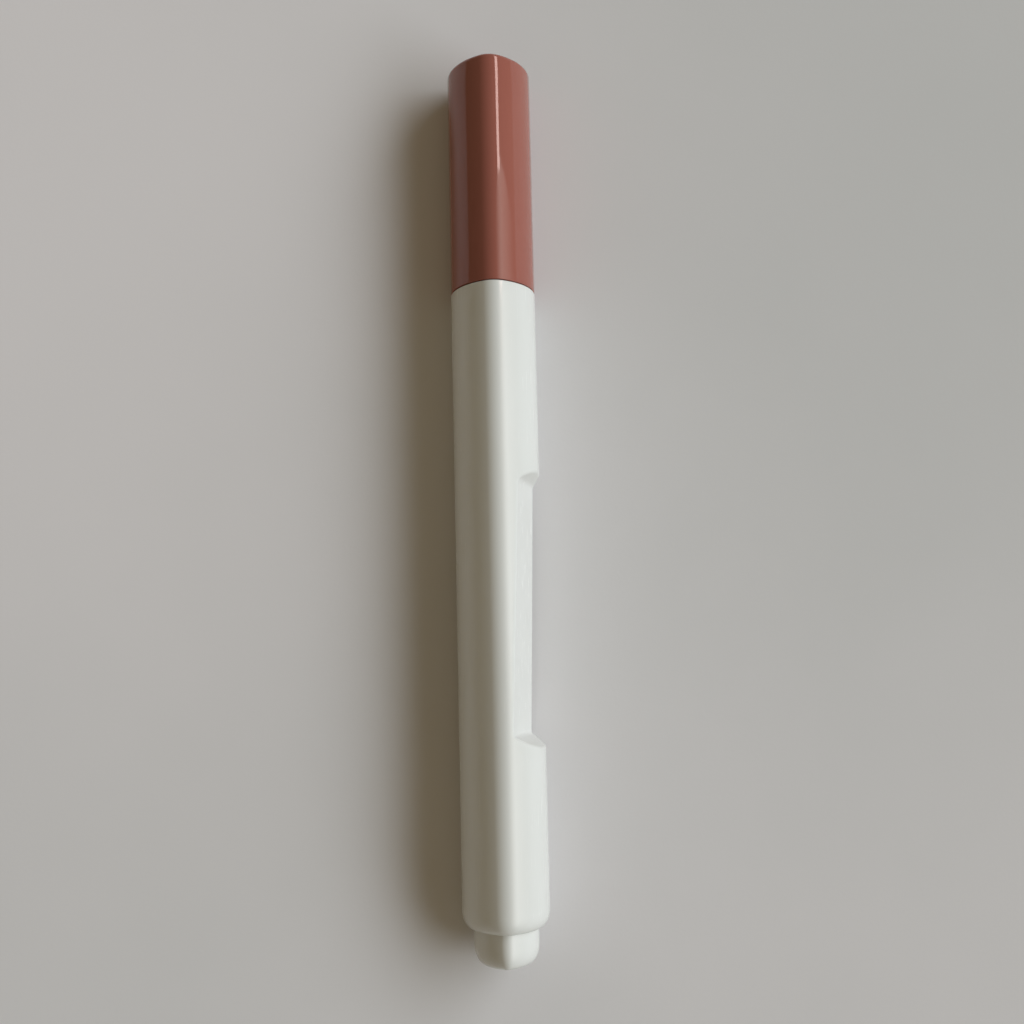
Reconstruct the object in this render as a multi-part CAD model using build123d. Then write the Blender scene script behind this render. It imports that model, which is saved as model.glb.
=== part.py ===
from build123d import *
import math
import os

# Capped paint marker, lying on one of its three soft sides.
# Sizes are in millimetres and angles in degrees.

# Outside
barrel_width = 13.0
ridge_radius = 3.1
barrel_length = 95.8
barrel_mouth_rounding = 0.25
tail_shoulder_inset = 1.55
tail_shoulder_length = 2.6
cap_length = 35.6
cap_joint_gap = 0.1
cap_end_rounding = 0.75
cap_mouth_rounding = 0.12
cap_lead_in = 0.4
plug_head_length = 5.1
plug_head_step = 0.15
plug_ridge_radius = 1.75
plug_end_ridge = 0.15
plug_end_length = 2.8

# Long flat recess in the barrel's right side, with its flat's distance from the axis at both ends
recess_start = 30.0
recess_length = 37.8
recess_flat_front = 4.3
recess_flat_rear = 3.1
recess_tilt = 15.0
recess_ramp_front = 48.0
recess_ramp_rear = 58.0
recess_corner = 0.8

# Walls
barrel_wall = 1.4
recess_wall = 1.2
mouth_wall = 1.3
tail_wall = 1.0
cap_wall = 1.3
cap_end_wall = 1.6
plug_head_wall = 1.8
plug_stem_wall = 1.6
section_wall = 1.3
cage_wall = 0.6
liner_wall = 0.7
liner_floor = 1.0

# Front section and nib
spigot_length = 15.0
spigot_relief = 1.0
collar_length = 9.0
collar_edge = 0.4
bead_height = 0.1
bead_width = 0.8
bead_place = 2.5
snout_step = 0.5
snout_taper_length = 3.5
snout_seal_step = 1.1
snout_seal_length = 4.5
snout_tip_length = 5.0
snout_tip_wall = 0.75
snout_tip_rounding = 0.35
nib_diameter = 3.0
nib_reach = 5.0
nib_tip_length = 3.6
nib_point_radius = 0.6
nib_point_rounding = 0.4
nib_tail_depth = 16.5

# Valve
gasket_thickness = 1.5
gasket_inset = 1.0
pin_stem_diameter = 2.2
pin_tail_diameter = 1.8
pin_flange_thickness = 1.4
pin_tail_end = 0.9
pin_edge = 0.3
cage_inset = 3.5
cage_floor = 1.5
cage_slots = 4
cage_slot_width = 1.6
cage_slot_margin = 1.8
spring_wire = 0.4
spring_turns = 6.0

# Reservoir, ball and plug stem
ball_diameter = 4.0
ball_rest = 34.0
plug_stem_length = 8.0
plug_bore_relief = 1.0
seal_thickness = 0.9
section_seal_depth = 6.0
tail_seal_depth = 3.6

# Clearances
press_clearance = 0.03
seal_clearance = 0.02
nib_clearance = 0.05
pin_clearance = 0.3
valve_gap = 0.03
cap_clearance = 0.15
liner_clearance = 0.2
liner_rim_clearance = 0.08
ball_clearance = 0.05

# The bench frame has z along the marker towards the nib, x to the right and the upper ridge towards -y.
# z is 0 at the barrel's tail end.
UP = -90.0
THIRD = 120.0
SIXTH = THIRD / 2
PAST = 1.0
mouth = barrel_length


def soft_triangle(width, ridge):
    """Three-sided outline of constant width: each side arc is centred on the ridge across from it."""
    reach = (width - 2 * ridge) / math.sqrt(3)
    arcs = []
    for turn in (UP, UP + THIRD, UP + 2 * THIRD):
        own = Vector(reach, 0).rotate(Axis.Z, turn)
        across = Vector(reach, 0).rotate(Axis.Z, turn - THIRD)
        arcs.append(CenterArc(own, ridge, turn - SIXTH / 2, SIXTH))
        arcs.append(CenterArc(across, width - ridge, turn + SIXTH / 2, SIXTH))
    return make_face([arc.edge() for arc in arcs])


def side_distance(width, ridge):
    """From the axis to the middle of a side of the soft triangle."""
    return width - ridge - (width - 2 * ridge) / math.sqrt(3)


def bar(width, ridge, start, end):
    """Straight soft-triangle bar from start to end along the marker."""
    return extrude(Pos(0, 0, start) * soft_triangle(width, ridge), end - start)


def rod(radius, start, end):
    """Round rod from start to end along the marker."""
    return extrude(Pos(0, 0, start) * Circle(radius), end - start)


def turned(*outline):
    """Solid of revolution about the marker's axis, from edges drawn with radius across and z up."""
    face = make_face([edge.edge() for edge in outline])
    return revolve(Plane.XZ * face, Axis.Z)


def turned_corners(*corners):
    """Solid of revolution from straight lines through (radius, z) corners."""
    closed = corners + corners[:1]
    return turned(*[Line(a, b) for a, b in zip(closed, closed[1:])])


def seal_ring(bore_radius, middle):
    """Round ring that lies just inside a bore."""
    thick = seal_thickness / 2
    return Pos(0, 0, middle) * Torus(bore_radius - thick - seal_clearance, thick)


def seal_groove(bore_radius, middle):
    """Groove that a seal ring lies in, as the ring of material to take away."""
    floor = bore_radius - seal_thickness - 2 * seal_clearance
    half = seal_thickness / 2 + seal_clearance
    return rod(bore_radius, middle - half, middle + half) - rod(floor, middle - half, middle + half)


# Sizes that follow from the driving ones
barrel_side = side_distance(barrel_width, ridge_radius)
tail_width = barrel_width - 2 * tail_shoulder_inset
tail_ridge = ridge_radius - tail_shoulder_inset
plug_width = tail_width - 2 * plug_head_step

seat_radius = barrel_side - mouth_wall
seat_end = mouth - spigot_length - spigot_relief
spigot_radius = seat_radius - press_clearance
plug_bore_radius = side_distance(tail_width, tail_ridge) - tail_wall
plug_bore_end = plug_stem_length + plug_bore_relief
plug_stem_radius = plug_bore_radius - press_clearance

cap_mouth = mouth + cap_joint_gap
cap_end = cap_mouth + cap_length
cap_floor = cap_end - cap_end_wall
cap_bore_width = barrel_width - 2 * cap_wall
cap_bore_ridge = ridge_radius - cap_wall
collar_width = cap_bore_width - 2 * cap_clearance
collar_ridge = cap_bore_ridge - cap_clearance

collar_end = mouth + collar_length
snout_base_radius = side_distance(collar_width, collar_ridge) - snout_step
snout_seal_radius = snout_base_radius - snout_seal_step
snout_seal_start = collar_end + snout_taper_length
snout_seal_end = snout_seal_start + snout_seal_length
snout_end = snout_seal_end + snout_tip_length
nib_radius = nib_diameter / 2
nib_bore_radius = nib_radius + nib_clearance
snout_tip_radius = nib_bore_radius + snout_tip_wall
nib_end = snout_end + nib_reach
nib_tail = snout_end - nib_tail_depth

liner_bore_radius = snout_seal_radius + liner_clearance
liner_radius = liner_bore_radius + liner_wall
liner_rim_radius = side_distance(cap_bore_width, cap_bore_ridge) - liner_rim_clearance
liner_mouth = snout_seal_start + snout_seal_length / 3

chamber_radius = spigot_radius - section_wall
gasket_front = mouth + gasket_inset
gasket_rear = gasket_front - gasket_thickness
gasket_bore_radius = pin_stem_diameter / 2 + pin_clearance
cage_radius = chamber_radius - press_clearance
cage_bore_radius = cage_radius - cage_wall
cage_rear = mouth - spigot_length + cage_inset
cage_floor_front = cage_rear + cage_floor
flange_front = gasket_rear - valve_gap
flange_rear = flange_front - pin_flange_thickness
flange_radius = cage_bore_radius - pin_clearance
pin_tail_radius = pin_tail_diameter / 2
guide_radius = pin_tail_radius + pin_clearance
spring_radius = (pin_tail_radius + cage_bore_radius) / 2

ball_radius = ball_diameter / 2
reservoir_width = barrel_width - 2 * barrel_wall
reservoir_ridge = ridge_radius - barrel_wall


def recess_cutter(extra):
    """Wedge that cuts the long flat, grown by extra on its floor and its two ramps."""
    floor_front = recess_flat_front - extra
    floor_rear = recess_flat_rear - extra
    ramp_front = math.radians(recess_ramp_front)
    ramp_rear = math.radians(recess_ramp_rear)
    front = mouth - recess_start + extra * math.tan(ramp_front / 2)
    rear = mouth - recess_start - recess_length - extra * math.tan(ramp_rear / 2)
    top = barrel_width
    ramps_and_floor = FilletPolyline(
        (top, rear - (top - floor_rear) / math.tan(ramp_rear)),
        (floor_rear, rear),
        (floor_front, front),
        (top, front + (top - floor_front) / math.tan(ramp_front)),
        radius=recess_corner + extra,
    )
    lid = Line(ramps_and_floor @ 1, ramps_and_floor @ 0)
    wedge = extrude(Plane.XZ * make_face([*ramps_and_floor.edges(), lid.edge()]), barrel_width, both=True)
    return Rot(0, 0, -recess_tilt) * wedge


def rounded_end(width, ridge, end_inset, length, end):
    """Rounded rear end of a soft-triangle bar: a quarter ellipse lofted through soft triangles."""
    sections = []
    for step in range(5):
        angle = math.radians(90 * step / 4)
        inset = end_inset * (1 - math.sin(angle))
        level = end + length * (1 - math.cos(angle))
        sections.append(Pos(0, 0, level) * soft_triangle(width - 2 * inset, ridge - inset))
    return loft(sections)


def make_barrel():
    straight = bar(barrel_width, ridge_radius, tail_shoulder_length, mouth)
    straight = fillet(straight.faces().sort_by(Axis.Z)[-1].edges(), barrel_mouth_rounding)
    reservoir = bar(reservoir_width, reservoir_ridge, plug_bore_end, seat_end) - recess_cutter(recess_wall)
    shoulder = rounded_end(barrel_width, ridge_radius, tail_shoulder_inset, tail_shoulder_length, 0)
    body = straight + shoulder - recess_cutter(0) - reservoir
    body -= rod(seat_radius, seat_end, mouth + PAST)
    return body - rod(plug_bore_radius, -PAST, plug_bore_end)


def make_tail_plug():
    end = -plug_head_length
    end_inset = plug_ridge_radius - plug_end_ridge
    head = bar(plug_width, plug_ridge_radius, end + plug_end_length, 0)
    head += rounded_end(plug_width, plug_ridge_radius, end_inset, plug_end_length, end)
    plug = head + rod(plug_stem_radius, 0, plug_stem_length)
    plug -= seal_groove(plug_bore_radius, tail_seal_depth)
    return plug - rod(plug_stem_radius - plug_stem_wall, end + plug_head_wall, plug_stem_length)


def make_cap_shell():
    shell = bar(barrel_width, ridge_radius, cap_mouth, cap_end)
    shell = fillet(shell.faces().sort_by(Axis.Z)[-1].edges(), cap_end_rounding)
    shell = fillet(shell.faces().sort_by(Axis.Z)[0].edges(), cap_mouth_rounding)
    shell -= bar(cap_bore_width, cap_bore_ridge, cap_mouth, cap_floor)
    inner_rim = shell.faces().sort_by(Axis.Z)[0].inner_wires()[0].edges()
    return chamfer(inner_rim, cap_lead_in)


def make_cap_liner():
    return turned_corners(
        (0, cap_floor),
        (liner_rim_radius, cap_floor),
        (liner_rim_radius, cap_floor - liner_floor),
        (liner_radius, cap_floor - liner_floor),
        (liner_radius, liner_mouth),
        (liner_radius - liner_wall / 2, liner_mouth),
        (liner_bore_radius, liner_mouth + liner_wall),
        (liner_bore_radius, cap_floor - liner_floor),
        (0, cap_floor - liner_floor),
    )


def make_nib_section():
    collar = bar(collar_width, collar_ridge, mouth, collar_end)
    collar = chamfer(collar.faces().sort_by(Axis.Z)[-1].edges(), collar_edge)
    snout = turned_corners(
        (0, mouth - spigot_length),
        (spigot_radius, mouth - spigot_length),
        (spigot_radius, mouth),
        (snout_base_radius, mouth),
        (snout_base_radius, collar_end),
        (snout_seal_radius, snout_seal_start),
        (snout_seal_radius, snout_seal_end),
        (snout_tip_radius, snout_end),
        (0, snout_end),
    )
    bead_start = mouth + bead_place
    bead = bar(collar_width + 2 * bead_height, collar_ridge + bead_height, bead_start, bead_start + bead_width)
    section = snout + collar + bead
    section = fillet(section.faces().sort_by(Axis.Z)[-1].edges(), snout_tip_rounding)
    section -= rod(nib_bore_radius, mouth, snout_end + PAST)
    section -= rod(chamber_radius, mouth - spigot_length - PAST, gasket_front)
    return section - seal_groove(seat_radius, mouth - section_seal_depth)


def make_nib():
    tip_start = nib_end - nib_tip_length
    nib = turned(
        Line((0, nib_tail), (nib_radius, nib_tail)),
        Line((nib_radius, nib_tail), (nib_radius, tip_start)),
        TangentArc((nib_radius, tip_start), (nib_point_radius, nib_end), tangent=(0, 1)),
        Line((nib_point_radius, nib_end), (0, nib_end)),
        Line((0, nib_end), (0, nib_tail)),
    )
    return fillet(nib.faces().sort_by(Axis.Z)[-1].edges(), nib_point_rounding)


def make_valve_gasket():
    gasket = rod(chamber_radius - press_clearance, gasket_rear, gasket_front)
    return gasket - rod(gasket_bore_radius, gasket_rear, gasket_front)


def make_valve_pin():
    tail_end = cage_rear + pin_tail_end
    return turned_corners(
        (0, tail_end),
        (pin_tail_radius - pin_edge, tail_end),
        (pin_tail_radius, tail_end + pin_edge),
        (pin_tail_radius, flange_rear),
        (flange_radius, flange_rear),
        (flange_radius, flange_front - pin_edge),
        (flange_radius - pin_edge, flange_front),
        (pin_stem_diameter / 2, flange_front),
        (pin_stem_diameter / 2, nib_tail),
        (0, nib_tail),
    )


def make_valve_cage():
    cage = rod(cage_radius, cage_rear, gasket_rear) - rod(cage_bore_radius, cage_floor_front, gasket_rear)
    cage -= rod(guide_radius, cage_rear, cage_floor_front)
    slot_length = gasket_rear - cage_floor_front - 2 * cage_slot_margin
    slot_middle = (cage_floor_front + gasket_rear) / 2
    slot = Pos(cage_radius, 0, slot_middle) * Box(2 * cage_wall + PAST, cage_slot_width, slot_length)
    return cage - [Rot(0, 0, 360 * n / cage_slots) * slot for n in range(cage_slots)]


def make_valve_spring():
    height = flange_rear - cage_floor_front - spring_wire - 2 * valve_gap
    coil = Helix(height / spring_turns, height, spring_radius)
    wire = sweep(Plane(coil @ 0, z_dir=coil % 0) * Circle(spring_wire / 2), coil, is_frenet=True)
    return Pos(0, 0, cage_floor_front + spring_wire / 2 + valve_gap) * wire


def make_mixing_ball():
    floor = side_distance(reservoir_width, reservoir_ridge)
    return Pos(0, floor - ball_radius - ball_clearance, ball_rest) * Sphere(ball_radius)


pieces = {
    "barrel": make_barrel(),
    "tail_plug": make_tail_plug(),
    "tail_seal": seal_ring(plug_bore_radius, tail_seal_depth),
    "nib_section": make_nib_section(),
    "section_seal": seal_ring(seat_radius, mouth - section_seal_depth),
    "valve_gasket": make_valve_gasket(),
    "valve_pin": make_valve_pin(),
    "valve_spring": make_valve_spring(),
    "valve_cage": make_valve_cage(),
    "nib": make_nib(),
    "mixing_ball": make_mixing_ball(),
    "cap_shell": make_cap_shell(),
    "cap_liner": make_cap_liner(),
}

# Lying down: the bench z turns to +Y, the upper ridge to +Z, and the middle of the length comes to the origin.
middle = (cap_end - plug_head_length) / 2
lying = Location((0, -middle, barrel_side), (-90, 0, 0))

os.makedirs("parts", exist_ok=True)
for name, piece in pieces.items():
    export_step(lying * piece, f"parts/{name}.step")
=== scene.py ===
"""Looks of a capped three-sided paint marker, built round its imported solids.

The marker lies along Y with its cap towards +Y, on a pale floor at Z = 0. Its sizes are
written in millimetres and turned to metres where meshes are made. The floor's and the
lamps' sizes are in metres.
"""
import math

import bmesh
import bpy
from mathutils import Matrix, Vector


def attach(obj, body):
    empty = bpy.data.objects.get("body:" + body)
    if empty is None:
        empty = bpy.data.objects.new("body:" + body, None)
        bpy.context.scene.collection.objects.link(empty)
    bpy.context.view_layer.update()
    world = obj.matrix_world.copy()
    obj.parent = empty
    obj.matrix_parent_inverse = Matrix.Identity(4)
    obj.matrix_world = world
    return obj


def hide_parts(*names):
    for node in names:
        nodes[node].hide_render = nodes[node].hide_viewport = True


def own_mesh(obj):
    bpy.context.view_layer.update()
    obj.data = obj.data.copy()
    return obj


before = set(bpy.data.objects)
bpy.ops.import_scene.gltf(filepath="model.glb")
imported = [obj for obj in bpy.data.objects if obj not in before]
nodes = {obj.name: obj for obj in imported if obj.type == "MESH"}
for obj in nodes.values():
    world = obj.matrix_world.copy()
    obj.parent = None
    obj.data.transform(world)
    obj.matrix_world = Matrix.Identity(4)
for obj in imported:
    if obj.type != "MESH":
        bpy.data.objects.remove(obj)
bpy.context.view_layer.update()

MM = 0.001

# Shells, in the sizes of the solids
BARREL_WIDTH = 13.0
RIDGE_RADIUS = 3.1
BARREL_LENGTH = 95.8
BARREL_WALL = 1.4
MOUTH_WALL = 1.3
MOUTH_ROUNDING = 0.25
MOUTH_RUN = 0.6
SEAT_DEPTH = 16.0
SHOULDER_INSET = 1.55
SHOULDER_LENGTH = 2.6
TAIL_RUN = 0.3
TAIL_WALL = 1.0
CAP_LENGTH = 35.6
CAP_WALL = 1.3
CAP_END_WALL = 1.6
CAP_FLOOR_HUB = 1.5
CAP_END_ROUNDING = 0.75
CAP_MOUTH_ROUNDING = 0.12
CAP_LEAD_IN = 0.4
JOINT_GAP = 0.1
PLUG_WIDTH = 9.6
PLUG_RIDGE_RADIUS = 1.75
PLUG_HEAD_LENGTH = 5.1
PLUG_HEAD_WALL = 1.8
PLUG_END_INSET = 1.6
PLUG_END_LENGTH = 2.8
PLUG_STEM_WALL = 1.6
PLUG_STEM_LENGTH = 8.0
PLUG_STEM_ROUNDING = 0.3
PLUG_SEAT_RUN = 0.4
PLUG_SEAT_ROUNDING = 0.1
PLUG_FLOOR_HUB = 0.8
PLUG_BORE_DEPTH = 9.0

# Long flat recess in the barrel's right side, with its flat's distance from the axis at both ends,
# and how far past each end the barrel is finely divided
RECESS_START = 30.0
RECESS_LENGTH = 37.8
RECESS_FLAT_FRONT = 4.3
RECESS_FLAT_REAR = 3.1
RECESS_TILT = math.radians(15)
RECESS_RAMP_FRONT = math.radians(48)
RECESS_RAMP_REAR = math.radians(58)
RECESS_WALL = 1.2
RECESS_CORNER = 0.7
RECESS_RIM = 0.3
RECESS_ROOM_FRONT = 5.0
RECESS_ROOM_REAR = 6.0

# Front section under the cap
SECTION_WALL = 1.3
COLLAR_LENGTH = 9.0
COLLAR_EDGE = 0.4
COLLAR_ROUNDING = 0.2
BEAD_PLACE = 2.5
BEAD_WIDTH = 0.8
BEAD_HEIGHT = 0.1
BEAD_SLOPE = 0.15
BEAD_ROUNDING = 0.1
SPIGOT_LENGTH = 15.0
SPIGOT_ROUNDING = 0.3
CHAMBER_END = 1.0
SNOUT_STEP = 0.5
SNOUT_SEAL_STEP = 1.1
SNOUT_TIP_WALL = 0.75
SNOUT_TAPER = 3.5
SNOUT_SEAL = 4.5
SNOUT_TIP = 5.0
SNOUT_ROOT_ROUNDING = 1.5
SNOUT_BEND_ROUNDING = 2.0
SNOUT_TIP_ROUNDING = 0.35
NIB_BORE_RADIUS = 1.55
NIB_BORE_ROUNDING = 0.1

# Valve spring, with its two seats counted back from the barrel's mouth
SPRING_REAR = 10.0
SPRING_FRONT = 1.93
SPRING_FIT = 0.03
SPRING_RADIUS = 1.807
SPRING_WIRE = 0.4
SPRING_TURNS = 6.0

# Fits and seal grooves
PRESS_FIT = 0.03
CAP_FIT = 0.15
GROOVE_HALF = 0.47
GROOVE_DEPTH = 0.94
SECTION_GROOVE_PLACE = 6.0
PLUG_GROOVE_PLACE = 3.6

# Sprue mark left in the middle of the cap's and the plug's end
SPRUE_RADIUS = 0.7
SPRUE_DEPTH = 0.08
SPRUE_SLOPE = 0.12

# Fineness of the meshes: steps round the marker and in roundings, and distances between rows
STEPS_ROUND = 240
ROUNDING_STEPS = 6
END_STEPS = 12
COIL_STEPS = 48
WIRE_STEPS = 14
EDGE_ROW = 0.05
FINE_ROW = 0.22
COARSE_ROW = 3.0
HIDDEN_ROW = 0.9
MERGE_DISTANCE = 0.002

# Section of the marker at a point of a wall's outline
ROUND = 1.0
SOFT = 0.0

# Floor: painted light falloff, as the shift of its shade per metre across, how much that changes
# along the marker, how far
# # the change goes, how far from the marker the shift fades, and half the floor's width, in metres
LIGHT_FALLOFF_ACROSS = 5.8
LIGHT_FALLOFF_TWIST = 10.0
LIGHT_FALLOFF_REACH = 0.075
LIGHT_FALLOFF_FADE = 0.12
FLOOR_HALF = 2.0

# Moulded plastic, with the depth of a scratch of full strength
PLASTIC_IOR = 1.49
SCRATCH_DEPTH = 0.006

# Camera fitted to the marker's outline: place in millimetres, turns in radians, near limit in metres
CAMERA_PLACE = (-3.41067, -25.60274, 209.3949)
CAMERA_TURNS = (0.11735, -0.02492, -0.01991)
CAMERA_LENS = 47.3944
CAMERA_FRAME = 36.0
CAMERA_NEAR = 0.005

# Places along the marker are first counted from the barrel's tail end
MOUTH = BARREL_LENGTH
CAP_MOUTH = MOUTH + JOINT_GAP
CAP_END = CAP_MOUTH + CAP_LENGTH
MIDDLE = (CAP_END - PLUG_HEAD_LENGTH) / 2


def side_distance(width, ridge):
    """From the axis to the middle of a side of the soft triangle."""
    return width - ridge - (width - 2 * ridge) / math.sqrt(3)


# Sizes that follow from the ones above
AXIS_HEIGHT = side_distance(BARREL_WIDTH, RIDGE_RADIUS)
SEAT_RADIUS = AXIS_HEIGHT - MOUTH_WALL
SPIGOT_RADIUS = SEAT_RADIUS - PRESS_FIT
CHAMBER_RADIUS = SPIGOT_RADIUS - SECTION_WALL
TAIL_SIDE = side_distance(BARREL_WIDTH - 2 * SHOULDER_INSET, RIDGE_RADIUS - SHOULDER_INSET)
PLUG_BORE_RADIUS = TAIL_SIDE - TAIL_WALL
PLUG_STEM_RADIUS = PLUG_BORE_RADIUS - PRESS_FIT
COLLAR_WIDTH = BARREL_WIDTH - 2 * (CAP_WALL + CAP_FIT)
COLLAR_RIDGE_RADIUS = RIDGE_RADIUS - CAP_WALL - CAP_FIT
SNOUT_BASE_RADIUS = side_distance(COLLAR_WIDTH, COLLAR_RIDGE_RADIUS) - SNOUT_STEP
SNOUT_SEAL_RADIUS = SNOUT_BASE_RADIUS - SNOUT_SEAL_STEP
SNOUT_TIP_RADIUS = NIB_BORE_RADIUS + SNOUT_TIP_WALL


# Wiring of node trees

def feed(tree, socket, value):
    """Links a socket to another one, or sets its value."""
    if isinstance(value, bpy.types.NodeSocket):
        tree.links.new(value, socket)
    else:
        socket.default_value = value


def add(tree, kind, inputs=None, **settings):
    """Adds a node with its settings, and feeds the named or numbered inputs."""
    node = tree.nodes.new(kind)
    for name, value in settings.items():
        setattr(node, name, value)
    for key, value in (inputs or {}).items():
        feed(tree, node.inputs[key], value)
    return node


def sums(tree):
    """Returns a function that adds one Math node: calc("ADD", a, b)."""
    def calc(operation, *values):
        node = add(tree, "ShaderNodeMath", dict(enumerate(values)), operation=operation)
        return node.outputs[0]
    return calc


def shape_tree(name, inputs):
    """New geometry tree with named inputs; returns the tree, its input sockets and identifiers."""
    tree = bpy.data.node_groups.new(name, "GeometryNodeTree")
    tree.interface.new_socket("Geometry", in_out="INPUT", socket_type="NodeSocketGeometry")
    tree.interface.new_socket("Geometry", in_out="OUTPUT", socket_type="NodeSocketGeometry")
    identifiers = {}
    for label, kind in inputs.items():
        socket = tree.interface.new_socket(label, in_out="INPUT", socket_type="NodeSocket" + kind)
        identifiers[label] = socket.identifier
    source = tree.nodes.new("NodeGroupInput")
    return tree, source.outputs, identifiers


def end_tree(tree, geometry, finish):
    """Last nodes of every shape tree."""
    real = add(tree, "GeometryNodeRealizeInstances", {"Geometry": geometry})
    coated = add(tree, "GeometryNodeSetMaterial", {"Geometry": real.outputs[0], "Material": finish})
    add(tree, "NodeGroupOutput", {"Geometry": coated.outputs[0]})


def wall_tree():
    """Wall outline carried round the marker's axis, on soft-triangle or round sections.

    The outline's points hold the inset from the section (x), the place along the marker (y)
    and whether the section is soft (z 0) or round (z 1). A soft section of constant width has
    three ridge arcs, and three side arcs that are each centred on the ridge across from it.
    """
    tree, given, identifiers = shape_tree("wall round the axis", {
        "Width": "Float", "Ridge Radius": "Float", "Axis Height": "Float",
        "Steps Round": "Int", "Finish": "Material",
    })
    calc = sums(tree)
    wall = given["Geometry"]
    size = add(tree, "GeometryNodeAttributeDomainSize", {"Geometry": wall})
    count = size.outputs["Point Count"]
    columns = calc("ADD", given["Steps Round"], 1)
    grid = add(tree, "GeometryNodeMeshGrid", {"Vertices X": columns, "Vertices Y": count})
    index = add(tree, "GeometryNodeInputIndex").outputs[0]
    whole, rest = [
        add(tree, "FunctionNodeIntegerMath", {0: index, 1: count}, operation=operation).outputs[0]
        for operation in ("DIVIDE_FLOOR", "MODULO")
    ]
    place = add(tree, "GeometryNodeInputPosition").outputs[0]
    sampled = add(tree, "GeometryNodeSampleIndex", {"Geometry": wall, "Value": place, "Index": rest},
                  data_type="FLOAT_VECTOR", domain="POINT")
    point = add(tree, "ShaderNodeSeparateXYZ", {0: sampled.outputs[0]}).outputs
    inset = point["X"]

    turn = calc("MULTIPLY", calc("DIVIDE", whole, given["Steps Round"]), 2 * math.pi)
    from_ridge = calc("WRAP", calc("SUBTRACT", turn, math.pi / 2), math.pi / 3, -math.pi / 3)
    on_side = calc("GREATER_THAN", calc("ABSOLUTE", from_ridge), math.pi / 6)
    own_ridge = calc("SUBTRACT", turn, from_ridge)
    across = calc("MULTIPLY_ADD", calc("SIGN", from_ridge), math.pi / 3, math.pi)
    centre_turn = calc("MULTIPLY_ADD", on_side, across, own_ridge)
    spare = calc("MULTIPLY_ADD", given["Ridge Radius"], -2, given["Width"])
    reach = calc("DIVIDE", spare, math.sqrt(3))
    arc_radius = calc("MULTIPLY_ADD", on_side, spare, given["Ridge Radius"])

    side = calc("SUBTRACT", calc("SUBTRACT", given["Width"], given["Ridge Radius"]), reach)
    soft = calc("SUBTRACT", 1, point["Z"])
    soft_reach = calc("MULTIPLY", reach, soft)
    base = calc("ADD", calc("MULTIPLY", arc_radius, soft), calc("MULTIPLY", side, point["Z"]))
    radius = calc("SUBTRACT", base, inset)
    across_x = calc("MULTIPLY", soft_reach, calc("COSINE", centre_turn))
    across_z = calc("MULTIPLY", soft_reach, calc("SINE", centre_turn))
    x = calc("MULTIPLY_ADD", radius, calc("COSINE", turn), across_x)
    z = calc("MULTIPLY_ADD", radius, calc("SINE", turn), across_z)
    placed = add(tree, "ShaderNodeCombineXYZ", {
        "X": x, "Y": point["Y"], "Z": calc("ADD", z, given["Axis Height"]),
    }).outputs[0]

    moved = add(tree, "GeometryNodeSetPosition", {
        "Geometry": grid.outputs["Mesh"], "Position": placed,
    })
    marked = add(tree, "GeometryNodeStoreNamedAttribute",
                 {"Geometry": moved.outputs[0], "Name": "inset", "Value": inset},
                 data_type="FLOAT", domain="POINT")
    closed = add(tree, "GeometryNodeMergeByDistance", {
        "Geometry": marked.outputs[0], "Distance": MERGE_DISTANCE * MM,
    })
    smooth = add(tree, "GeometryNodeSetShadeSmooth", {"Geometry": closed.outputs[0]})
    end_tree(tree, smooth.outputs[0], given["Finish"])
    return tree, identifiers


def recess_tree():
    """Presses the long flat into the barrel, with ramped ends and softly rounded rims.

    Points beyond the flat go back along its normal. Points of the inner wall do so too, by the
    share of the wall that their inset gives.
    """
    tree, given, identifiers = shape_tree("long flat recess", {
        "Tilt": "Float", "Ramp Front": "Float", "Ramp Rear": "Float",
        "Front": "Float", "Rear": "Float", "Floor Front": "Float", "Floor Rear": "Float",
        "Corner": "Float", "Rim": "Float",
        "Wall Share": "Float", "Axis Height": "Float", "Finish": "Material",
    })
    calc = sums(tree)
    place = add(tree, "GeometryNodeInputPosition").outputs[0]
    point = add(tree, "ShaderNodeSeparateXYZ", {0: place}).outputs
    over = calc("COSINE", given["Tilt"])
    up = calc("SINE", given["Tilt"])
    height = calc("SUBTRACT", point["Z"], given["Axis Height"])
    reach = calc("MULTIPLY_ADD", point["X"], over, calc("MULTIPLY", height, up))

    along = calc("DIVIDE", calc("SUBTRACT", point["Y"], given["Rear"]),
                 calc("SUBTRACT", given["Front"], given["Rear"]))
    deepening = calc("SUBTRACT", given["Floor Front"], given["Floor Rear"])
    floor = calc("MULTIPLY_ADD", along, deepening, given["Floor Rear"])
    front_ramp = calc("MULTIPLY_ADD", calc("SUBTRACT", point["Y"], given["Front"]),
                      calc("TANGENT", given["Ramp Front"]), given["Floor Front"])
    rear_ramp = calc("MULTIPLY_ADD", calc("SUBTRACT", given["Rear"], point["Y"]),
                     calc("TANGENT", given["Ramp Rear"]), given["Floor Rear"])
    bed = calc("SMOOTH_MAX", floor, front_ramp, given["Corner"])
    bed = calc("SMOOTH_MAX", bed, rear_ramp, given["Corner"])
    inset = add(tree, "GeometryNodeInputNamedAttribute", {"Name": "inset"}, data_type="FLOAT")
    bed = calc("SUBTRACT", bed, calc("MULTIPLY", inset.outputs[0], given["Wall Share"]))

    kept = calc("SMOOTH_MIN", reach, bed, given["Rim"])
    back = calc("SUBTRACT", kept, reach)
    move = add(tree, "ShaderNodeCombineXYZ", {
        "X": calc("MULTIPLY", back, over), "Z": calc("MULTIPLY", back, up),
    }).outputs[0]
    pressed = add(tree, "GeometryNodeSetPosition", {"Geometry": given["Geometry"], "Offset": move})
    end_tree(tree, pressed.outputs[0], given["Finish"])
    return tree, identifiers


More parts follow.
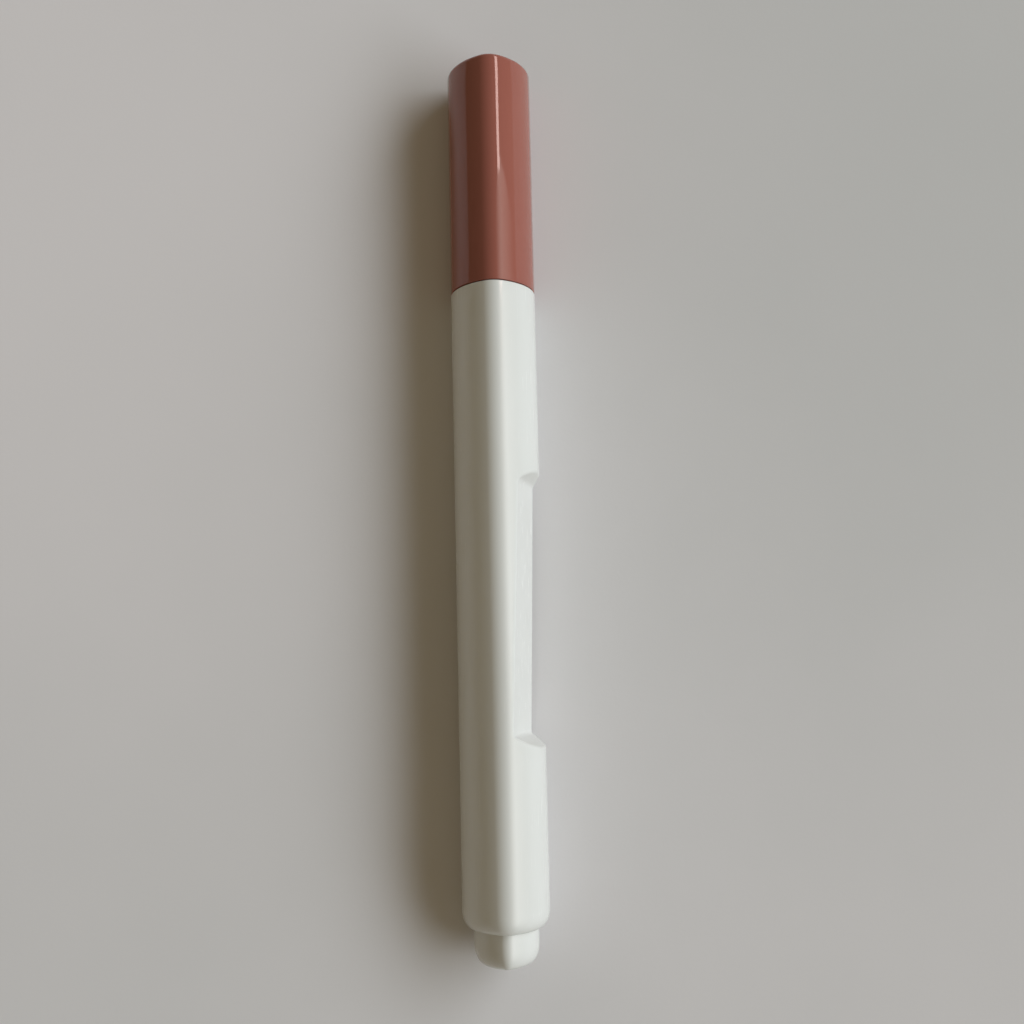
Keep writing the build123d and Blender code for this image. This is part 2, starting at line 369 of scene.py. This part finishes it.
def coil_tree():
    """Wire coil along the marker, from its rear end forwards."""
    tree, given, identifiers = shape_tree("wire coil", {
        "Radius": "Float", "Length": "Float", "Turns": "Float", "Wire Radius": "Float",
        "Rear": "Vector", "Finish": "Material",
    })
    path = add(tree, "GeometryNodeCurveSpiral", {
        "Resolution": COIL_STEPS, "Rotations": given["Turns"], "Start Radius": given["Radius"],
        "End Radius": given["Radius"], "Height": given["Length"], "Reverse": True,
    })
    section = add(tree, "GeometryNodeCurvePrimitiveCircle", {
        "Resolution": WIRE_STEPS, "Radius": given["Wire Radius"],
    })
    wire = add(tree, "GeometryNodeCurveToMesh", {
        "Curve": path.outputs[0], "Profile Curve": section.outputs[0], "Fill Caps": True,
    })
    laid = add(tree, "GeometryNodeTransform", {
        "Geometry": wire.outputs[0], "Translation": given["Rear"], "Rotation": (-math.pi / 2, 0, 0),
    })
    end_tree(tree, laid.outputs[0], given["Finish"])
    return tree, identifiers


# Outlines of the walls

def outline(corners, closed=False):
    """Points of a wall outline through corners (inset, place, section, rounding, row).

    Rounding is the radius at the corner, and row the distance between points on the way to the
    next corner. Both may be left out.
    """
    corners = [tuple(c) + (0.0,) * (5 - len(c)) for c in corners]
    runs = []
    for n, (inset, place, section, rounding, row) in enumerate(corners):
        here = Vector((inset, place))
        if rounding:
            before = (Vector(corners[n - 1][:2]) - here).normalized()
            after = (Vector(corners[(n + 1) % len(corners)][:2]) - here).normalized()
            half = before.angle(after) / 2
            centre = here + (before + after).normalized() * rounding / math.sin(half)
            start = here + before * rounding / math.tan(half) - centre
            end = here + after * rounding / math.tan(half) - centre
            first = math.atan2(start.y, start.x)
            sweep = (math.atan2(end.y, end.x) - first + math.pi) % (2 * math.pi) - math.pi
            turns = [first + sweep * s / ROUNDING_STEPS for s in range(ROUNDING_STEPS + 1)]
            arc = [centre + rounding * Vector((math.cos(a), math.sin(a))) for a in turns]
        else:
            arc = [here]
        runs.append(([(p.x, p.y, section) for p in arc], row))
    points = []
    for n, (arc, row) in enumerate(runs):
        points.extend(arc)
        if row:
            last, following = arc[-1], runs[(n + 1) % len(runs)][0][0]
            count = max(1, round(abs(following[1] - last[1]) / row))
            for s in range(1, count):
                share = s / count
                points.append(tuple(a + (b - a) * share for a, b in zip(last, following)))
    if closed:
        points.append(points[0])
    return points


def rounded_end(inset, length, end):
    """Corners of a rounded rear end, a quarter ellipse from its end face forwards."""
    turns = [math.radians(90 * n / END_STEPS) for n in range(END_STEPS + 1)]
    return [(inset * (1 - math.sin(a)), end + length * (1 - math.cos(a)), SOFT) for a in turns]


def barrel_outline():
    """From the tail's end face along the outside to the mouth, and back through the reservoir."""
    side = AXIS_HEIGHT
    shoulder = rounded_end(SHOULDER_INSET, SHOULDER_LENGTH, 0)
    fine_start = MOUTH - RECESS_START - RECESS_LENGTH - RECESS_ROOM_REAR
    fine_end = MOUTH - RECESS_START + RECESS_ROOM_FRONT
    plug_bore = side - PLUG_BORE_RADIUS
    seat_end = MOUTH - SEAT_DEPTH
    shoulder[-1] += (0.0, COARSE_ROW)
    return outline(shoulder + [
        (0, fine_start, SOFT, 0, FINE_ROW),
        (0, fine_end, SOFT, 0, COARSE_ROW),
        (0, MOUTH, SOFT, MOUTH_ROUNDING),
        (MOUTH_ROUNDING + MOUTH_RUN, MOUTH, SOFT),
        (MOUTH_WALL, MOUTH, ROUND),
        (MOUTH_WALL, seat_end, ROUND),
        (BARREL_WALL, seat_end, SOFT, 0, HIDDEN_ROW),
        (BARREL_WALL, PLUG_BORE_DEPTH, SOFT),
        (plug_bore, PLUG_BORE_DEPTH, ROUND),
        (plug_bore, 0, ROUND),
        (SHOULDER_INSET + TAIL_RUN, 0, SOFT),
    ], closed=True)


def cap_outline():
    """From the middle of the cap's floor along the inside to the mouth, and back outside."""
    side = AXIS_HEIGHT
    floor = CAP_END - CAP_END_WALL
    return outline([
        (side - CAP_FLOOR_HUB, floor, ROUND),
        (CAP_WALL, floor, SOFT, 0, COARSE_ROW),
        (CAP_WALL, CAP_MOUTH + CAP_LEAD_IN, SOFT),
        (CAP_WALL - CAP_LEAD_IN, CAP_MOUTH, SOFT),
        (0, CAP_MOUTH, SOFT, CAP_MOUTH_ROUNDING, COARSE_ROW),
        (0, CAP_END, SOFT, CAP_END_ROUNDING),
        (CAP_END_ROUNDING + EDGE_ROW, CAP_END, SOFT),
        (side - SPRUE_RADIUS - SPRUE_SLOPE - EDGE_ROW, CAP_END, ROUND),
        (side - SPRUE_RADIUS - SPRUE_SLOPE, CAP_END, ROUND),
        (side - SPRUE_RADIUS, CAP_END - SPRUE_DEPTH, ROUND),
    ])


def plug_outline():
    """From the bore's floor round the stem to the seat, and round the head to its end face."""
    side = side_distance(PLUG_WIDTH, PLUG_RIDGE_RADIUS)
    stem = side - PLUG_STEM_RADIUS
    bore = stem + PLUG_STEM_WALL
    bore_floor = PLUG_HEAD_WALL - PLUG_HEAD_LENGTH
    groove = side - PLUG_BORE_RADIUS + GROOVE_DEPTH
    return outline([
        (side - PLUG_FLOOR_HUB, bore_floor, ROUND),
        (bore, bore_floor, ROUND),
        (bore, PLUG_STEM_LENGTH, ROUND),
        (stem, PLUG_STEM_LENGTH, ROUND, PLUG_STEM_ROUNDING),
        (stem, PLUG_GROOVE_PLACE + GROOVE_HALF, ROUND),
        (groove, PLUG_GROOVE_PLACE + GROOVE_HALF, ROUND),
        (groove, PLUG_GROOVE_PLACE - GROOVE_HALF, ROUND),
        (stem, PLUG_GROOVE_PLACE - GROOVE_HALF, ROUND),
        (stem, 0, ROUND),
        (PLUG_SEAT_RUN, 0, SOFT),
        (0, 0, SOFT, PLUG_SEAT_ROUNDING),
        *reversed(rounded_end(PLUG_END_INSET, PLUG_END_LENGTH, -PLUG_HEAD_LENGTH)),
        (PLUG_END_INSET + EDGE_ROW, -PLUG_HEAD_LENGTH, SOFT),
        (side - SPRUE_RADIUS - SPRUE_SLOPE - EDGE_ROW, -PLUG_HEAD_LENGTH, ROUND),
        (side - SPRUE_RADIUS - SPRUE_SLOPE, -PLUG_HEAD_LENGTH, ROUND),
        (side - SPRUE_RADIUS, SPRUE_DEPTH - PLUG_HEAD_LENGTH, ROUND),
    ])


def section_outline():
    """From the spigot's rear end over the collar to the snout's tip, and back through the bore."""
    side = side_distance(COLLAR_WIDTH, COLLAR_RIDGE_RADIUS)
    spigot = side - SPIGOT_RADIUS
    rear = MOUTH - SPIGOT_LENGTH
    groove = side - SEAT_RADIUS + GROOVE_DEPTH
    groove_middle = MOUTH - SECTION_GROOVE_PLACE
    bead = MOUTH + BEAD_PLACE
    collar_end = MOUTH + COLLAR_LENGTH
    seal_start = collar_end + SNOUT_TAPER
    seal_end = seal_start + SNOUT_SEAL
    tip = seal_end + SNOUT_TIP
    nib_bore = side - NIB_BORE_RADIUS
    chamber = side - CHAMBER_RADIUS
    return outline([
        (chamber, rear, ROUND),
        (spigot, rear, ROUND, SPIGOT_ROUNDING),
        (spigot, groove_middle - GROOVE_HALF, ROUND),
        (groove, groove_middle - GROOVE_HALF, ROUND),
        (groove, groove_middle + GROOVE_HALF, ROUND),
        (spigot, groove_middle + GROOVE_HALF, ROUND),
        (spigot, MOUTH, ROUND),
        (0, MOUTH, SOFT),
        (0, MOUTH + EDGE_ROW, SOFT),
        (0, bead, SOFT),
        (-BEAD_HEIGHT, bead + BEAD_SLOPE, SOFT, BEAD_ROUNDING),
        (-BEAD_HEIGHT, bead + BEAD_WIDTH - BEAD_SLOPE, SOFT, BEAD_ROUNDING),
        (0, bead + BEAD_WIDTH, SOFT),
        (0, collar_end - COLLAR_EDGE, SOFT, COLLAR_ROUNDING),
        (COLLAR_EDGE, collar_end, SOFT),
        (side - SNOUT_BASE_RADIUS, collar_end, ROUND),
        (side - SNOUT_SEAL_RADIUS, seal_start, ROUND, SNOUT_ROOT_ROUNDING),
        (side - SNOUT_SEAL_RADIUS, seal_end, ROUND, SNOUT_BEND_ROUNDING),
        (side - SNOUT_TIP_RADIUS, tip, ROUND, SNOUT_TIP_ROUNDING),
        (nib_bore, tip, ROUND, NIB_BORE_ROUNDING),
        (nib_bore, MOUTH + CHAMBER_END, ROUND),
        (chamber, MOUTH + CHAMBER_END, ROUND),
    ], closed=True)


# Pieces made from the trees

def shaped(obj, tree, identifiers, values):
    """Runs one shape tree on an object and keeps the result as its plain mesh."""
    modifier = obj.modifiers.new(tree.name, "NODES")
    modifier.node_group = tree
    for label, value in values.items():
        modifier[identifiers[label]] = value
    graph = bpy.context.evaluated_depsgraph_get()
    mesh = bpy.data.meshes.new_from_object(
        obj.evaluated_get(graph), preserve_all_data_layers=True, depsgraph=graph)
    obj.modifiers.remove(modifier)
    blank = obj.data
    obj.data = mesh
    bpy.data.meshes.remove(blank)
    mesh.name = obj.name
    return obj


def new_piece(name, points=()):
    """Object of loose points, for a shape tree to work on."""
    mesh = bpy.data.meshes.new(name)
    mesh.from_pydata(list(points), [], [])
    obj = bpy.data.objects.new(name, mesh)
    bpy.context.scene.collection.objects.link(obj)
    return obj


def wall_piece(name, points, width, ridge, finish):
    """Shell of one piece: its wall outline carried round the axis."""
    obj = new_piece(name, [(i * MM, (p - MIDDLE) * MM, s) for i, p, s in points])
    return shaped(obj, *WALL, {
        "Width": width * MM, "Ridge Radius": ridge * MM, "Axis Height": AXIS_HEIGHT * MM,
        "Steps Round": STEPS_ROUND, "Finish": finish,
    })


def close_up(obj):
    """Closes the open ends of a shell and points its faces outwards."""
    shell = bmesh.new()
    shell.from_mesh(obj.data)
    ends = [edge for edge in shell.edges if edge.is_boundary]
    if ends:
        bmesh.ops.holes_fill(shell, edges=ends, sides=0)
    bmesh.ops.recalc_face_normals(shell, faces=shell.faces)
    for face in shell.faces:
        face.smooth = True
    shell.to_mesh(obj.data)
    shell.free()


def stand_in(obj, node, body):
    """Puts a finished piece in the place of its solid."""
    close_up(obj)
    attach(obj, body)
    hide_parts(node)


# Finishes

def finish_tree(name):
    """New material; returns its tree, its shader and the piece's own coordinates."""
    material = bpy.data.materials.new(name)
    material.use_nodes = True
    tree = material.node_tree
    tree.nodes.clear()
    shader = tree.nodes.new("ShaderNodeBsdfPrincipled")
    add(tree, "ShaderNodeOutputMaterial", {"Surface": shader.outputs[0]})
    place = tree.nodes.new("ShaderNodeTexCoord").outputs["Object"]
    return material, tree, shader, place


def grain(tree, place, size, stretch=(1, 1, 1), detail=2.0, roughness=0.5):
    """Noise with features of one size in millimetres, longer where stretch is more."""
    scale = tuple(1 / (size * MM * s) for s in stretch)
    mapped = add(tree, "ShaderNodeMapping", {"Vector": place, "Scale": scale})
    noise = add(tree, "ShaderNodeTexNoise", {
        "Vector": mapped.outputs[0], "Scale": 1.0, "Detail": detail, "Roughness": roughness,
    })
    return noise.outputs["Fac"]


def spread(tree, value, low, high, start=0.3, end=0.7):
    """Noise value spread between two limits."""
    mapped = add(tree, "ShaderNodeMapRange", {
        "Value": value, "From Min": start, "From Max": end, "To Min": low, "To Max": high,
    })
    return mapped.outputs[0]


def tint(tree, value, first, second):
    """Colour between two colours."""
    mix = add(tree, "ShaderNodeMix", data_type="RGBA")
    feed(tree, mix.inputs["Factor"], value)
    feed(tree, mix.inputs[6], (*first, 1))
    feed(tree, mix.inputs[7], (*second, 1))
    return mix.outputs[2]


def relief(tree, shader, *layers):
    """Bump from (height, depth in millimetres) layers, laid one on another."""
    normal = None
    for height, depth in layers:
        bump = add(tree, "ShaderNodeBump", {
            "Height": height, "Strength": 1.0, "Distance": depth * MM,
        })
        if normal:
            feed(tree, bump.inputs["Normal"], normal)
        normal = bump.outputs[0]
    feed(tree, shader.inputs["Normal"], normal)


def moulded_plastic(name, pale, deep, gloss, dull, skin, scratch):
    """Faint clouds in the colour, a fine mould skin and hair scratches along the marker."""
    material, tree, shader, place = finish_tree(name)
    cloud = spread(tree, grain(tree, place, size=9, stretch=(1, 2.5, 1), detail=3), 0, 1)
    feed(tree, shader.inputs["Base Color"], tint(tree, cloud, pale, deep))
    hairs = grain(tree, place, size=0.12, stretch=(1, 60, 1), detail=1)
    worn = spread(tree, grain(tree, place, size=4, detail=3), gloss, dull)
    scuffed = add(tree, "ShaderNodeMath", {
        0: spread(tree, hairs, 0, scratch, start=0.62, end=0.8), 1: worn,
    }, operation="ADD", use_clamp=True).outputs[0]
    feed(tree, shader.inputs["Roughness"], scuffed)
    shader.inputs["IOR"].default_value = PLASTIC_IOR
    mould_skin = grain(tree, place, size=0.35, detail=2)
    relief(tree, shader, (mould_skin, skin), (hairs, scratch * SCRATCH_DEPTH))
    return material


def bonded_fibre(name, pale, deep):
    """Pressed fibres that run along the nib."""
    material, tree, shader, place = finish_tree(name)
    strands = grain(tree, place, size=0.07, stretch=(1, 40, 1), detail=3, roughness=0.6)
    feed(tree, shader.inputs["Base Color"], tint(tree, spread(tree, strands, 0, 1), deep, pale))
    feed(tree, shader.inputs["Roughness"], spread(tree, strands, 0.95, 0.75))
    relief(tree, shader, (strands, 0.03))
    return material


def soft_rubber(name, pale, deep):
    """Dull rubber with a fine moulded tooth."""
    material, tree, shader, place = finish_tree(name)
    tooth = grain(tree, place, size=0.08, detail=3)
    feed(tree, shader.inputs["Base Color"], tint(tree, spread(tree, tooth, 0, 1), pale, deep))
    feed(tree, shader.inputs["Roughness"], spread(tree, tooth, 0.6, 0.78))
    relief(tree, shader, (tooth, 0.006))
    return material


def drawn_steel(name, pale, deep):
    """Bright steel with fine draw lines."""
    material, tree, shader, place = finish_tree(name)
    lines = grain(tree, place, size=0.05, stretch=(1, 12, 1), detail=2)
    feed(tree, shader.inputs["Base Color"], tint(tree, spread(tree, lines, 0, 1), pale, deep))
    feed(tree, shader.inputs["Roughness"], spread(tree, lines, 0.16, 0.3))
    shader.inputs["Metallic"].default_value = 1.0
    relief(tree, shader, (lines, 0.002))
    return material


def pale_paper(name, pale, deep):
    """Pale floor with painted light falloff, its shade shifting slowly near the marker, with faint
    clouds and a fine tooth.
    """
    material, tree, shader, place = finish_tree(name)
    calc = sums(tree)
    spot = add(tree, "ShaderNodeSeparateXYZ", {0: place}).outputs
    # Painted light falloff: the floor's shade turns lighter on one side of the marker and darker on
    # the other, changes along it, and fades out further away
    along = calc("TANH", calc("DIVIDE", spot["Y"], LIGHT_FALLOFF_REACH))
    painted_falloff = calc("MULTIPLY", spot["X"], calc("MULTIPLY_ADD", along, LIGHT_FALLOFF_TWIST, LIGHT_FALLOFF_ACROSS))
    away = calc("MULTIPLY_ADD", spot["X"], spot["X"], calc("MULTIPLY", spot["Y"], spot["Y"]))
    painted_falloff = calc("MULTIPLY", painted_falloff, calc("EXPONENT", calc("DIVIDE", away, -LIGHT_FALLOFF_FADE ** 2)))
    cloud = spread(tree, grain(tree, place, size=40, detail=4), -0.08, 0.08)
    lean = calc("TANH", calc("MULTIPLY", calc("ADD", cloud, painted_falloff), 2))
    shade = calc("MULTIPLY_ADD", lean, 0.5, 0.5)
    feed(tree, shader.inputs["Base Color"], tint(tree, shade, pale, deep))
    shader.inputs["Specular IOR Level"].default_value = 0.1
    tooth = grain(tree, place, size=0.6, detail=3)
    feed(tree, shader.inputs["Roughness"], spread(tree, tooth, 0.75, 0.9))
    relief(tree, shader, (tooth, 0.01))
    return material


white_barrel = moulded_plastic("white barrel plastic", (0.78, 0.78, 0.75), (0.755, 0.755, 0.722),
                               gloss=0.20, dull=0.25, skin=0.0012, scratch=0.08)
brick_cap = moulded_plastic("brick cap plastic", (0.348, 0.116, 0.086), (0.332, 0.107, 0.080),
                            gloss=0.03, dull=0.05, skin=0.0003, scratch=0.05)
white_section = moulded_plastic("white section plastic", (0.78, 0.78, 0.76), (0.75, 0.75, 0.725),
                                gloss=0.36, dull=0.44, skin=0.0012, scratch=0.06)
milky_liner = moulded_plastic("milky liner plastic", (0.78, 0.77, 0.73), (0.72, 0.71, 0.67),
                              gloss=0.42, dull=0.52, skin=0.0015, scratch=0.05)
milky_valve = moulded_plastic("milky valve plastic", (0.74, 0.74, 0.71), (0.69, 0.69, 0.66),
                              gloss=0.42, dull=0.5, skin=0.0015, scratch=0.05)
pale_nib = bonded_fibre("pale nib fibre", (0.82, 0.79, 0.72), (0.60, 0.56, 0.48))
black_rubber = soft_rubber("black seal rubber", (0.05, 0.05, 0.05), (0.03, 0.03, 0.032))
bright_steel = drawn_steel("bright drawn steel", (0.62, 0.62, 0.63), (0.5, 0.5, 0.52))
grey_floor = pale_paper("pale grey floor", (0.852, 0.813, 0.825), (0.658, 0.656, 0.653))

WALL = wall_tree()
RECESS = recess_tree()
COIL = coil_tree()


def make_barrel():
    """Barrel with the long flat pressed into its right side."""
    front = MOUTH - RECESS_START
    barrel = wall_piece("barrel_shell", barrel_outline(), BARREL_WIDTH, RIDGE_RADIUS, white_barrel)
    shaped(barrel, *RECESS, {
        "Tilt": RECESS_TILT, "Ramp Front": RECESS_RAMP_FRONT, "Ramp Rear": RECESS_RAMP_REAR,
        "Front": (front - MIDDLE) * MM, "Rear": (front - RECESS_LENGTH - MIDDLE) * MM,
        "Floor Front": RECESS_FLAT_FRONT * MM, "Floor Rear": RECESS_FLAT_REAR * MM,
        "Corner": RECESS_CORNER * MM, "Rim": RECESS_RIM * MM,
        "Wall Share": RECESS_WALL / BARREL_WALL, "Axis Height": AXIS_HEIGHT * MM,
        "Finish": white_barrel,
    })
    stand_in(barrel, "barrel", "marker_body")


def make_cap():
    """Outer shell of the cap."""
    cap = wall_piece("cap_outer", cap_outline(), BARREL_WIDTH, RIDGE_RADIUS, brick_cap)
    stand_in(cap, "cap_shell", "cap")


def make_plug():
    """Plug whose stem is pressed into the barrel's tail."""
    plug = wall_piece("plug_in_tail", plug_outline(), PLUG_WIDTH, PLUG_RIDGE_RADIUS, white_barrel)
    stand_in(plug, "tail_plug", "marker_body")


def make_section():
    """Front section with the collar that the cap grips and the snout that holds the nib."""
    section = wall_piece("front_section", section_outline(), COLLAR_WIDTH, COLLAR_RIDGE_RADIUS,
                         white_section)
    stand_in(section, "nib_section", "marker_body")


def make_spring():
    """Coil spring that is pressed together as the nib goes in."""
    seat = MOUTH - SPRING_REAR - MIDDLE
    room = SPRING_REAR - SPRING_FRONT
    rear = seat + SPRING_FIT + SPRING_WIRE / 2
    spring = shaped(new_piece("coil_spring"), *COIL, {
        "Radius": SPRING_RADIUS * MM, "Length": (room - SPRING_WIRE - 2 * SPRING_FIT) * MM,
        "Turns": SPRING_TURNS, "Wire Radius": SPRING_WIRE / 2 * MM,
        "Rear": (0.0, rear * MM, AXIS_HEIGHT * MM), "Finish": bright_steel,
    })
    stand_in(spring, "valve_spring", "marker_body")
    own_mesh(spring)


make_barrel()
make_cap()
make_plug()
make_section()
make_spring()

FINISH_OF_NODE = {
    "cap_liner": milky_liner,
    "nib": pale_nib,
    "valve_pin": milky_valve,
    "valve_cage": milky_valve,
    "valve_gasket": black_rubber,
    "section_seal": black_rubber,
    "tail_seal": black_rubber,
    "mixing_ball": bright_steel,
}
for node, finish in FINISH_OF_NODE.items():
    for slot in nodes[node].material_slots:
        slot.material = finish


# Floor, light and camera

def lay_floor():
    """Flat pale floor that the marker lies on."""
    corners = [(x * FLOOR_HALF, y * FLOOR_HALF, 0) for x, y in ((-1, -1), (1, -1), (1, 1), (-1, 1))]
    mesh = bpy.data.meshes.new("floor")
    mesh.from_pydata(corners, [], [(0, 1, 2, 3)])
    mesh.materials.append(grey_floor)
    floor = bpy.data.objects.new("floor", mesh)
    bpy.context.scene.collection.objects.link(floor)


def facing(azimuth, elevation):
    """Direction away from the marker, by degrees round from +X and up from the floor."""
    turn, rise = math.radians(azimuth), math.radians(elevation)
    level = math.cos(rise)
    return Vector((math.cos(turn) * level, math.sin(turn) * level, math.sin(rise)))


def hang_lamp(name, away, distance, size, level, colour, seen_by, along=(0, 1, 0), faded=False):
    """Panel lamp whose first side runs along a direction.

    Level is the share of a white surface's full brightness that a small lamp gives when faced. A
    lamp that is seen by "gloss" only shows as a reflection, and one seen by "skin" gives none. A
    faded panel is brightest along its middle, dark at the two edges beside it, and half as strong.
    """
    lamp = bpy.data.lights.new(name, "AREA")
    lamp.shape = "RECTANGLE"
    lamp.size, lamp.size_y = size
    lamp.energy = level * math.pi ** 2 * distance ** 2
    lamp.color = colour
    if faded:
        lamp.use_nodes = True
        tree = lamp.node_tree
        panel = add(tree, "ShaderNodeNewGeometry").outputs["Parametric"]
        across_panel = add(tree, "ShaderNodeSeparateXYZ", {0: panel}).outputs["Y"]
        from_edge = sums(tree)("PINGPONG", across_panel, 0.5)
        glow = add(tree, "ShaderNodeMapRange", {"Value": from_edge, "From Max": 0.5},
                   interpolation_type="SMOOTHSTEP")
        feed(tree, tree.nodes["Emission"].inputs["Strength"], glow.outputs[0])
    obj = bpy.data.objects.new(name, lamp)
    across = away.cross(Vector(along)).normalized()
    turned = Matrix((across.cross(away), across, away)).transposed()
    obj.matrix_world = Matrix.Translation(away * distance) @ turned.to_4x4()
    obj.visible_camera = False
    obj.visible_diffuse = seen_by != "gloss"
    obj.visible_glossy = seen_by != "skin"
    bpy.context.scene.collection.objects.link(obj)


def light_room(colour, strength):
    """Even warm light from the whole room."""
    world = bpy.data.worlds.new("room light")
    world.use_nodes = True
    background = world.node_tree.nodes["Background"]
    background.inputs["Color"].default_value = (*colour, 1)
    background.inputs["Strength"].default_value = strength
    bpy.context.scene.world = world


def set_camera():
    """Camera of the photograph: close above the marker, tipped a little towards the cap."""
    camera = bpy.data.cameras.new("camera")
    camera.sensor_width = CAMERA_FRAME
    camera.lens = CAMERA_LENS
    camera.clip_start = CAMERA_NEAR
    obj = bpy.data.objects.new("camera", camera)
    obj.location = Vector(CAMERA_PLACE) * MM
    obj.rotation_mode = "YXZ"
    obj.rotation_euler = CAMERA_TURNS
    bpy.context.scene.collection.objects.link(obj)
    bpy.context.scene.camera = obj


lay_floor()
hang_lamp("window", facing(7.4, 35), distance=12.0, size=(21.6, 10.2), level=2.4,
          colour=(0.873, 0.945, 1.0), seen_by="skin", faded=True)
hang_lamp("window foot", facing(4, 9), distance=6.0, size=(10.8, 1.5), level=0.12,
          colour=(0.80, 0.90, 1.0), seen_by="skin")
hang_lamp("bright wall", facing(-12, 38), distance=2.0, size=(2.5, 3.0), level=1.15,
          colour=(1.0, 0.95, 0.88), seen_by="gloss", faded=True)
hang_lamp("bright gap", facing(45.7, 35.7), distance=2.0, size=(0.95, 0.47), level=0.34,
          colour=(1.0, 0.76, 0.70), seen_by="gloss", along=(-0.41, 0.82, -0.41))
light_room(colour=(1.0, 0.822, 0.522), strength=0.18)
set_camera()
bpy.context.scene.view_settings.view_transform = "Standard"
